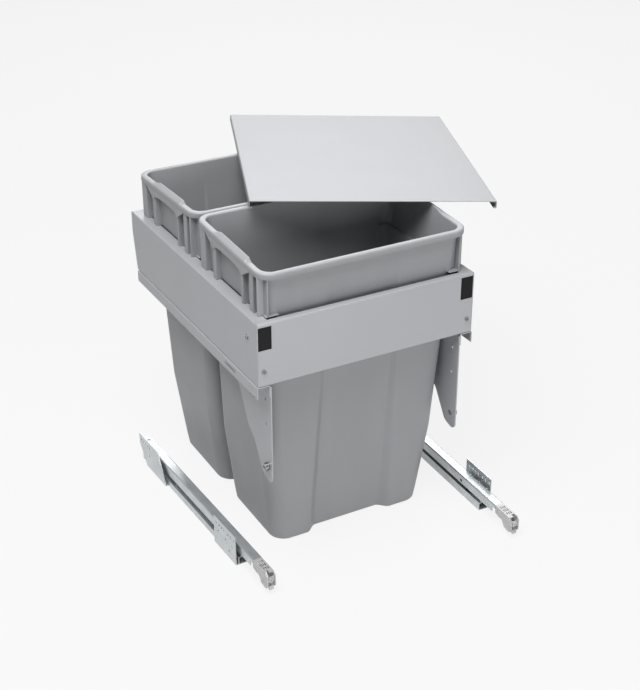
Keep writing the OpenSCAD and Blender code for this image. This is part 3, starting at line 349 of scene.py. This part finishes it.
# steps down a side: before the grip, up its steep end, along it, down its gentle end, after it
SIDE_STEPS = (5, 7, 11, 10, 4)
# share of the recess's height over which it fades out at its top
RECESS_BLEND = 0.02
# share of a move inward by which the recess's bottom plane narrows
RECESS_NARROWING = 0.4
# share of the recess's sloping sides that is kept above it, so that no points fall together
MOUTH_KEPT = 0.25
# step between two rings at an edge where the wall's form jumps
JUMP = 0.01 * MM
# rounding of the rim's lower edge, and share of it at which its middle ring lies
LIP_ROUND, LIP_SHARE = 1.2 * MM, 0.3
# places and widths of the ribs on the left side, as shares of the rim's depth from its middle
RIB_SHARES = ((-0.427, 0.01), (-0.347, 0.052), (-0.215, 0.026), (0.198, 0.043), (0.379, 0.081))
# height above the ledge at which a rib's foot takes the wall's form
RIB_FOOT_STEP = 0.1 * MM
# share of the rim's height by which ribs and fins reach up into it
RIB_REACH = 0.25
# share of the end lip by which the corner fins stand behind the rim's face
FIN_SETBACK = 0.75
# share of the apron's length that its arch spans, and how far its ends reach up into the rim
ARCH_SHARE, APRON_REACH = 0.93, 0.4 * MM
ARCH_POINTS = 33
TRIM_EDGE = 0.5 * MM


def mesh_object(name, points, faces, material):
    """An object at the origin from points and faces, smooth where it bends little."""
    mesh = bpy.data.meshes.new(name)
    mesh.from_pydata(points.tolist(), [], faces)
    mesh.shade_smooth()
    mesh.set_sharp_from_angle(angle=SMOOTH_BELOW)
    mesh.materials.append(material)
    obj = bpy.data.objects.new(name, mesh)
    bpy.context.scene.collection.objects.link(obj)
    return obj


def grid_faces(rows, columns):
    """Quads between the rows of a grid whose columns close on themselves."""
    i, j = np.meshgrid(np.arange(rows - 1), np.arange(columns), indexing="ij")
    row, above, k = i * columns, (i + 1) * columns, (j + 1) % columns
    return np.stack([row + j, row + k, above + k, above + j], axis=-1).reshape(-1, 4).tolist()


def ease(t):
    """Runs from 0 to 1 as 3 t squared less 2 t cubed."""
    return t * t * (3 - 2 * t)


def soft_above(x, blend):
    """The larger of x and 0, with a parabola over the distance blend on either side of 0."""
    middle = (x + blend) ** 2 / (4 * blend)
    return np.where(x < -blend, 0, np.where(x > blend, x, middle))


def wall_form(s, z):
    """Half width, front, back and corner radius of the wall's outer face at the heights z.

    The half width follows straight slopes with a soft change at the crease and steps out by the
    ledge; the ends lean straight from the base to the rim."""
    base = s.rim_width / 2 - s.base_draw
    crease = s.rim_width / 2 - s.crease_draw
    top = s.rim_width / 2 - s.side_lip
    steep = (crease - base) / s.crease_height
    flat = (top - s.side_draft - s.ledge - crease) / (s.ledge_height - s.crease_height)
    lower = base + steep * z + (flat - steep) * soft_above(z - s.crease_height, s.crease_blend)
    upper = top - s.side_draft * (s.height - z) / (s.height - s.ledge_height)
    half = np.where(z > s.ledge_height, upper, lower)
    share = z / s.height
    base_half = base_depth(s) / 2
    radius = s.base_radius + (s.wall_radius - s.base_radius) * share
    return half, -base_half - s.front_rake * share, base_half + s.back_rake * share, radius


def base_depth(s):
    """What the rim's depth leaves when the lips and the leaning ends are taken off."""
    return s.rim_depth - 2 * s.end_lip - s.front_rake - s.back_rake


def rim_ends(s):
    """The rim's front and back."""
    front = -base_depth(s) / 2 - s.front_rake - s.end_lip
    return front, front + s.rim_depth


def rim_lift(s, y):
    """The rim rises evenly from its recessed end to its straight end."""
    return s.rim_rise * (y - rim_ends(s)[0]) / s.rim_depth


def grip_span(s):
    """Course at which the grip's level part begins and ends, from the rim's middle."""
    return -s.grip_offset - s.grip_length / 2, -s.grip_offset + s.grip_length / 2


def grip_share(s, course):
    """Share of the grip's height on its course: a steep ease up, level, a gentle ease down."""
    low, high = grip_span(s)
    up = ease(np.clip((course - low + s.grip_step) / s.grip_step, 0, 1))
    return up * (1 - ease(np.clip((course - high) / s.grip_run, 0, 1)))


def side_shares(s):
    """Places down a side as shares of its straight part, close together where the grip bends."""
    low, high = grip_span(s)
    end = s.rim_depth / 2 - s.rim_radius
    stops = (-end, low - s.grip_step, low, high, high + s.grip_run, end)
    runs = [
        np.linspace(start, stop, steps + 1)[1:]
        for start, stop, steps in zip(stops, stops[1:], SIDE_STEPS)
    ]
    return (np.concatenate(runs)[:-1] + end) / (2 * end)


def ring_points(s, half, front, back, radius, inner, mouth, depth):
    """Closed rings, one for each height: a rounded rectangle whose front dips smoothly by depth.

    Corners are quarter circles; the front runs level, eases down from mouth to inner, and back."""
    sizes = np.broadcast_arrays(half, front, back, radius, inner, mouth, depth)
    half, front, back, radius, inner, mouth, depth = (np.asarray(v, float)[:, None] for v in sizes)
    turn = np.linspace(0, 90, CORNER_POINTS)[None, :]

    def arc(cx, cy, start):
        a = np.radians(start + turn)
        return cx + radius * np.cos(a), cy + radius * np.sin(a)

    def line(x0, y0, x1, y1, t):
        return x0 + (x1 - x0) * t[None, :], y0 + (y1 - y0) * t[None, :]

    few, more = np.linspace(0, 1, 5)[1:-1], np.linspace(0, 1, 9)[1:-1]
    along = side_shares(s)[::-1]
    t = np.linspace(0, 1, SLOPE_POINTS)[None, :]
    dip = depth * ease(t)
    left_x = -mouth + (mouth - inner) * t
    parts = [
        arc(-half + radius, front + radius, 180),
        line(-half + radius, front, -mouth, front, few),
        (left_x, front + dip),
        line(-inner, front + depth, inner, front + depth, more),
        (-left_x[:, ::-1], front + dip[:, ::-1]),
        line(mouth, front, half - radius, front, few),
        arc(half - radius, front + radius, 270),
        line(half, back - radius, half, front + radius, along),
        arc(half - radius, back - radius, 0),
        line(half - radius, back, -half + radius, back, more),
        arc(-half + radius, back - radius, 90),
        line(-half, front + radius, -half, back - radius, along),
    ]
    x, y = (np.concatenate(values, axis=1) for values in zip(*parts))
    return np.stack([x, y], axis=-1)


def recess_slope(s):
    """Width of one sloping side of the recess at the base."""
    return (s.recess_mouth - s.recess_width) / 2


def wall_rings(s, z, inward):
    """Rings of the wall at the heights z, moved inward; the recess deepens evenly below its top."""
    z, inward = np.broadcast_arrays(np.asarray(z, float), np.asarray(inward, float))
    half, front, back, radius = wall_form(s, z)
    share = soft_above(1 - z / s.recess_top, RECESS_BLEND)
    inner = s.recess_width / 2 - inward * RECESS_NARROWING
    mouth = inner + recess_slope(s) * (MOUTH_KEPT + (1 - MOUTH_KEPT) * share)
    half, front, back, radius = half - inward, front + inward, back - inward, radius - inward
    return ring_points(s, half, front, back, radius, inner, mouth, s.recess_depth * share)


def rim_rings(s, inward):
    """Rings of the rim's outer face, moved inward."""
    front, back = rim_ends(s)
    inner = s.recess_width / 2
    mouth = inner + recess_slope(s) * MOUTH_KEPT
    inward = np.asarray(inward, float)
    half, radius = s.rim_width / 2 - inward, s.rim_radius - inward
    return ring_points(s, half, front + inward, back - inward, radius, inner, mouth, 0)


def level(rings, z):
    """Rings laid level at the heights z."""
    z = np.broadcast_to(np.asarray(z, float)[:, None, None], rings.shape[:2] + (1,))
    return np.concatenate([rings, z], axis=-1)


def risen(s, rings, z, part):
    """Rings laid on the rising rim at the heights z, lifted by a part of the grip where it runs."""
    middle = sum(rim_ends(s)) / 2
    course = np.where(rings[..., 0] < 0, 1, -1) * (rings[..., 1] - middle)
    grip = np.asarray(part, float)[:, None] * s.grip_rise * grip_share(s, course)
    height = np.asarray(z, float)[:, None] + rim_lift(s, rings[..., 1]) + grip
    return np.concatenate([rings, height[..., None]], axis=-1)


def bin_shell(s, name, material):
    """The bin's closed skin: up the outer wall, round the rim, down the inner wall, over the floor.

    Edges are rounded by quarter circles, whose points go in by r times 1 less sine and up by r
    times 1 less cosine."""
    quarter = np.radians(np.linspace(0, 90, QUARTER_POINTS))
    into, up = 1 - np.sin(quarter), 1 - np.cos(quarter)
    foot, rim, wall, across = s.foot_round, s.rim_round, s.wall, s.side_lip + s.wall
    lip, ledge, top = s.height - s.rim_height, s.ledge_height, s.height
    crease = np.linspace(-1.2, 1.2, 7) * s.crease_blend + s.crease_height
    below = np.linspace(foot, crease[0], 9)[1:-1]
    lower = np.concatenate([below, crease, np.linspace(crease[-1], ledge, 14)[1:]])
    upper = np.linspace(ledge, s.recess_top, 5)[1:]
    flare = [lip - LIP_ROUND, lip]
    edge_in = [LIP_ROUND, LIP_ROUND * LIP_SHARE, 0.0]
    edge_z = [lip, lip + LIP_ROUND * LIP_SHARE, lip + LIP_ROUND]
    rows = [
        level(wall_rings(s, 0.0, foot * into), foot * up),
        level(wall_rings(s, lower, 0.0), lower),
        level(wall_rings(s, [ledge + JUMP], 0.0), [ledge + JUMP]),
        level(wall_rings(s, upper, 0.0), upper),
        risen(s, wall_rings(s, flare, [0.0, -LIP_ROUND]), flare, [0, 0]),
        risen(s, rim_rings(s, edge_in), edge_z, [0, 0, 0]),
        risen(s, rim_rings(s, rim * up), top - rim * into, rim * up / across),
        risen(s, wall_rings(s, top, wall - rim * into), top - rim * up, 1 - rim * into / across),
        level(wall_rings(s, upper[::-1], wall), upper[::-1]),
        level(wall_rings(s, [ledge + JUMP], wall), [ledge + wall]),
        level(wall_rings(s, [ledge], wall), [ledge + wall - JUMP]),
        level(wall_rings(s, lower[-2:0:-1], wall), lower[-2:0:-1]),
        level(wall_rings(s, s.floor, wall + foot * up), s.floor + foot * into),
    ]
    points = np.concatenate(rows)
    count, columns = points.shape[:2]
    faces = grid_faces(count, columns)
    # the base and the floor close toward their middles
    middles = np.array([[0, 0, 0], [0, 0, s.floor]])
    last, ring = (count - 1) * columns, np.arange(columns)
    following, base = (ring + 1) % columns, np.full(columns, count * columns)
    faces += np.stack([following, ring, base], axis=-1).tolist()
    faces += np.stack([last + ring, last + following, base + 1], axis=-1).tolist()
    return mesh_object(name, np.concatenate([points.reshape(-1, 3), middles]), faces, material)


def wall_reach(s, y, z):
    """Half width of the outer wall at the places y and a height, by the circle of its corners."""
    half, front, back, radius = wall_form(s, np.array(z))
    inward = np.maximum(0, np.maximum(front + radius - y, y - back + radius))
    return half - radius + np.sqrt(radius**2 - inward**2)


def rib_block(s, y, width, top):
    """A rib that stands at the ledge's level, its inner end inside the wall all the way up.

    A narrow one is a bar in plan, and a wide one is a channel whose two flanks meet the wall."""
    outer, near, far = s.rim_width / 2 - s.rib_inset, y - width / 2, y + width / 2
    # reach: 0 inside the wall, 1 at the outer face, 2 a rib's thickness behind it
    reach, along = [0, 1, 1, 0], [near, near, far, far]
    if width >= 3 * s.rib:
        reach += [0, 2, 2, 0]
        along += [far - s.rib, far - s.rib, near + s.rib, near + s.rib]
    reach, along = np.array(reach), np.array(along)
    ends = []
    for z, end_z in (
        (s.ledge_height + RIB_FOOT_STEP, s.ledge_height),
        (s.height - s.rim_height, top),
    ):
        x = np.choose(reach, [wall_reach(s, along, z) - s.wall / 2, outer, outer - s.rib])
        ends.append(np.stack([x, along, np.full(len(x), end_z)], -1))
    return prism(*ends)


def prism(bottom, top):
    """A closed block between two outlines with the same number of points."""
    n = len(bottom)
    ring = np.arange(n)
    following = (ring + 1) % n
    faces = np.stack([ring, following, n + following, n + ring], axis=-1).tolist()
    return np.concatenate([bottom, top]), faces + [ring[::-1].tolist(), (ring + n).tolist()]


def corner_blocks(s, end, top):
    """The corner at an end wall (0 front, 1 back): an upright fin, and a foot to the wall."""
    outer = s.rim_width / 2 - s.side_lip - s.side_draft - s.wall / 2
    face, way = rim_ends(s)[end], 2 * end - 1
    tip, root = face - way * s.end_lip * FIN_SETBACK, face - way * (s.rim_radius - s.side_lip)
    fin = (s.rib, 0, top)
    foot = (s.wall_radius, s.rib, s.ledge_height + s.rib / 2)
    blocks = []
    for width, reach, z in (fin, foot):
        x = outer + np.array([-width, reach, reach, -width])
        plan = np.stack([x, np.array([tip, tip, root, root])], -1)
        bottom, lid = (np.insert(plan, 2, height, axis=1) for height in (s.ledge_height, z))
        blocks.append(prism(bottom, lid))
    return blocks


def side_place(s, turn, course):
    """Y of a course along a side: to the front on the right side, to the rear on the left."""
    return sum(rim_ends(s)) / 2 - turn * course


def apron_block(s, turn):
    """The apron under the grip: its lower edge arches as the square root of a half sine."""
    half, outer, run = s.apron_length / 2, s.rim_width / 2, s.apron_length / 2 + s.apron_run
    a = np.radians(np.linspace(180, 0, ARCH_POINTS))
    rise = s.apron_arch * np.sqrt(np.maximum(np.sin(a), 0))
    arch = np.stack([half * ARCH_SHARE * np.cos(a), s.apron_drop - rise], -1)
    left = [[-run, -APRON_REACH], [-half, s.apron_drop]]
    right = [[half, s.apron_drop], [run, -APRON_REACH]]
    course, drop = np.concatenate([left, arch, right]).T
    y = side_place(s, turn, course - s.apron_offset)
    z = s.height - s.rim_height + rim_lift(s, y) - drop
    return prism(*(np.stack([np.full(len(y), x), y, z], -1) for x in (outer - s.rib, outer)))


def joined(blocks):
    """Blocks as one: each block's faces are numbered on from the points of the blocks before it."""
    points = np.concatenate([own for own, _ in blocks])
    starts = np.cumsum([0] + [len(own) for own, _ in blocks[:-1]])
    faces = [
        (np.array(face) + start).tolist()
        for start, (_, own) in zip(starts, blocks)
        for face in own
    ]
    return points, faces


def rounded(obj, width, harden=False):
    """Rounds the object's edges by the width, so that they catch the light."""
    bevel = obj.modifiers.new("rounded edges", "BEVEL")
    bevel.width, bevel.segments = width, 2
    bevel.limit_method, bevel.harden_normals = "ANGLE", harden


def bin_trim(s, name, material):
    """Aprons and hanging ribs: flat outlines carried along an axis, their edges rounded.

    They are laid out on the right side, and the left side is the right one turned half round."""

    def hidden_top(y):
        return s.height + (RIB_REACH - 1) * s.rim_height + rim_lift(s, y)

    blocks = []
    for turn in (1, -1):
        shapes = [apron_block(s, turn)]
        for share, width in RIB_SHARES:
            y = side_place(s, turn, share * s.rim_depth)
            shapes.append(rib_block(s, y, width * s.rim_depth, hidden_top(y)))
        for end, y in enumerate(rim_ends(s)):
            shapes += corner_blocks(s, end, hidden_top(y))
        for points, _ in shapes:
            points[:, 0] *= turn
        blocks += shapes
    obj = mesh_object(name, *joined(blocks), material)
    bpy.context.view_layer.objects.active = obj
    bpy.ops.object.mode_set(mode="EDIT")
    bpy.ops.mesh.select_all(action="SELECT")
    bpy.ops.mesh.normals_make_consistent(inside=False)
    bpy.ops.object.mode_set(mode="OBJECT")
    rounded(obj, TRIM_EDGE)
    return obj


def turned_about_z(obj, middle_y):
    """The object's points turned half a turn about the upright line through the given Y."""
    mesh = obj.data
    points = np.empty(len(mesh.vertices) * 3)
    mesh.vertices.foreach_get("co", points)
    points = points.reshape(-1, 3)
    points[:, 0] *= -1
    points[:, 1] = 2 * middle_y - points[:, 1]
    mesh.vertices.foreach_set("co", points.ravel())
    mesh.update()


# Stage

# name, place, target and size of each light, and the setting that holds its power
LIGHTS = (
    ("overhead", (-0.8, -0.5, 2.7), (0.0, 0.1, 0.3), 1.6, "key"),
    ("front fill", (0.0, -2.8, 0.6), (0.0, 0.0, 0.25), 1.4, "fill"),
    ("back light", (1.5, 2.5, 2.0), (0.0, 0.1, 0.4), 1.8, "back"),
)
# white of the surroundings that the camera sees, and white of the paper with its lift
SURROUNDINGS, PAPER, PAPER_LIFT = 0.92, "#bcbcbc", 0.86


def backdrop_sheet(name, material, reach, height, bend):
    """A floor that curves up into a wall: a line, a quarter circle and a line, carried along X."""
    a = np.radians(np.linspace(0, 90, 25))
    curve = np.stack([reach - bend + bend * np.sin(a), bend - bend * np.cos(a)], -1)
    profile = np.concatenate([[[-reach, 0.0]], curve, [[reach, height]]])
    points = np.concatenate([np.insert(profile, 0, x, axis=1) for x in (-reach, reach)])
    n = len(profile)
    i = np.arange(n - 1)
    faces = np.stack([i, n + i, n + i + 1, i + 1], -1).tolist()
    return mesh_object(name, points, faces, material)


def soft_light(name, place, target, size, watts):
    """A square area light that faces its target."""
    data = bpy.data.lights.new(name, "AREA")
    data.shape, data.size, data.energy = "SQUARE", size, watts
    lamp = bpy.data.objects.new(name, data)
    bpy.context.scene.collection.objects.link(lamp)
    lamp.location = place
    direction = Vector(target) - Vector(place)
    lamp.rotation_euler = direction.to_track_quat("-Z", "Y").to_euler()


def pale_world(strength):
    """Even light of the strength, from surroundings that the camera sees as pale as the paper."""
    world = bpy.data.worlds.new("even light")
    world.use_nodes = True
    tree = world.node_tree
    tree.nodes.clear()
    even = add(tree, "ShaderNodeBackground", {"Color": (1, 1, 1, 1), "Strength": strength})
    pale = add(tree, "ShaderNodeBackground", {"Color": (1, 1, 1, 1), "Strength": SURROUNDINGS})
    seen = add(tree, "ShaderNodeLightPath").outputs["Is Camera Ray"]
    mix = add(tree, "ShaderNodeMixShader", {}, {0: seen, 1: even.outputs[0], 2: pale.outputs[0]})
    add(tree, "ShaderNodeOutputWorld", {}, {"Surface": mix.outputs[0]})
    return world


def photo_camera(s):
    """A camera at its place, whose axes follow from the yaw and the pitch."""
    data = bpy.data.cameras.new("camera")
    data.lens, data.sensor_width = s.focal, SENSOR_WIDTH
    camera = bpy.data.objects.new("camera", data)
    bpy.context.scene.collection.objects.link(camera)
    sy, cy, sp, cp = math.sin(s.yaw), math.cos(s.yaw), math.sin(s.pitch), math.cos(s.pitch)
    right, up, back = (cy, -sy, 0), (sy * sp, cy * sp, cp), (-sy * cp, -cy * cp, sp)
    axes = Matrix((right, up, back)).transposed().to_4x4()
    camera.matrix_world = Matrix.Translation(s.camera) @ axes
    return camera


def both(*names):
    """The names of the left and the right piece of each name."""
    return [name + "_" + side for name in names for side in SIDES]


def paint(nodes, material, edge=0.0):
    """Gives the CAD nodes their finish, and rounds their edges where a radius is given."""
    for name in nodes:
        obj = frame["nodes"][name]
        obj.data.materials.clear()
        obj.data.materials.append(material)
        if edge:
            rounded(obj, edge, harden=True)


class WASTE_OT_stage(bpy.types.Operator):
    """Floor, backdrop, lights and camera"""

    bl_idname = "waste.stage"
    bl_label = "Stage"

    def execute(self, context):
        s = context.scene.waste_stage
        paper = matt_backdrop("matt white paper", linear(PAPER), PAPER_LIFT)
        backdrop_sheet("backdrop", paper, reach=6.0, height=5.0, bend=1.5)
        context.scene.world = pale_world(s.ambient)
        for name, place, target, size, setting in LIGHTS:
            soft_light(name, place, target, size, getattr(s, setting))
        context.scene.camera = photo_camera(s)
        context.scene.view_settings.view_transform = "Standard"
        return {"FINISHED"}


class WASTE_OT_frame(bpy.types.Operator):
    """Lacquer, plastic and hardware of the frame"""

    bl_idname = "waste.frame"
    bl_label = "Frame"

    def execute(self, context):
        c = context.scene.waste_finishes
        coat = silver_lacquer("silver powder coat on steel", tuple(c.frame), 0.42)
        paint(both("side_panel") + ["front_panel", "rear_rail"], coat, 0.5 * MM)
        paint(both("runner_channel", "door_bracket"), coat, 0.4 * MM)
        black = moulded_nylon("black moulded polyamide", tuple(c.black), 0.45)
        paint(both("corner_block_front", "corner_block_rear"), black)
        hardware = bright_zinc("bright zinc plated hardware", tuple(c.hardware))
        paint(["frame_screws", "bracket_rivets"] + both("door_cam"), hardware)
        return {"FINISHED"}


class WASTE_OT_bins(bpy.types.Operator):
    """Both bins, each a skin with its grips and ribs"""

    bl_idname = "waste.bins"
    bl_label = "Bins"

    def execute(self, context):
        s = context.scene.waste_bin
        base = tuple(context.scene.waste_finishes.bins)
        plastic = moulded_polypropylene("grey moulded polypropylene", base)
        for name in ("front_bin", "rear_bin"):
            shell = bin_shell(s, name + "_shell", plastic)
            trim = bin_trim(s, name + "_grips_and_ribs", plastic)
            for piece in (shell, trim):
                if name == "rear_bin":
                    turned_about_z(piece, rim_ends(s)[1] + s.gap / 2)
                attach(piece, name)
            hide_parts(name)
        return {"FINISHED"}


class WASTE_OT_lid(bpy.types.Operator):
    """Lacquer of the lid"""

    bl_idname = "waste.lid"
    bl_label = "Lid"

    def execute(self, context):
        base = tuple(context.scene.waste_finishes.lid)
        paint(["lid"], silver_lacquer("light silver powder coat on steel", base, 0.50))
        return {"FINISHED"}


class WASTE_OT_runners(bpy.types.Operator):
    """Finishes of the runners and their locking devices"""

    bl_idname = "waste.runners"
    bl_label = "Runners"

    def execute(self, context):
        c = context.scene.waste_finishes
        strip = zinc_plated_strip("zinc plated steel strip", tuple(c.zinc))
        paint(both("cabinet_member", "middle_member", "drawer_member"), strip)
        casting = tumbled_zinc_casting("tumbled zinc casting", tuple(c.cast))
        paint(both("coupling_body", "release_lever", "adjust_wheel"), casting)
        black = moulded_nylon("black moulded acetal", tuple(c.black), 0.4)
        paint(both("lower_carriage", "upper_carriage", "damper_housing", "closing_catch"), black)
        natural = moulded_nylon("natural moulded acetal", tuple(c.roller), 0.35)
        paint(both("lower_rollers", "upper_rollers"), natural)
        return {"FINISHED"}


class WASTE_PT_unit(bpy.types.Panel):
    """Lists the steps that build the waste unit"""

    bl_label = "Waste unit"
    bl_space_type = "VIEW_3D"
    bl_region_type = "UI"
    bl_category = "Waste unit"

    def draw(self, context):
        for operator in OPERATORS:
            self.layout.operator(operator.bl_idname)
        scene = context.scene
        for group in (scene.waste_bin, scene.waste_finishes, scene.waste_stage):
            box = self.layout.box()
            for name in group.__annotations__:
                box.prop(group, name)


OPERATORS = (WASTE_OT_stage, WASTE_OT_frame, WASTE_OT_bins, WASTE_OT_lid, WASTE_OT_runners)
CLASSES = (BinSizes, Finishes, StageSettings) + OPERATORS + (WASTE_PT_unit,)


def register():
    """Registers the classes and hangs the settings on the scene."""
    for cls in CLASSES:
        bpy.utils.register_class(cls)
    bpy.types.Scene.waste_bin = bpy.props.PointerProperty(type=BinSizes)
    bpy.types.Scene.waste_finishes = bpy.props.PointerProperty(type=Finishes)
    bpy.types.Scene.waste_stage = bpy.props.PointerProperty(type=StageSettings)


def unregister():
    """Takes the settings and the classes away again."""
    del bpy.types.Scene.waste_bin, bpy.types.Scene.waste_finishes, bpy.types.Scene.waste_stage
    for cls in reversed(CLASSES):
        bpy.utils.unregister_class(cls)


def main():
    """Builds everything in order."""
    register()
    bpy.ops.waste.stage()
    bpy.ops.waste.frame()
    bpy.ops.waste.bins()
    bpy.ops.waste.lid()
    bpy.ops.waste.runners()


if __name__ == "__main__":
    main()
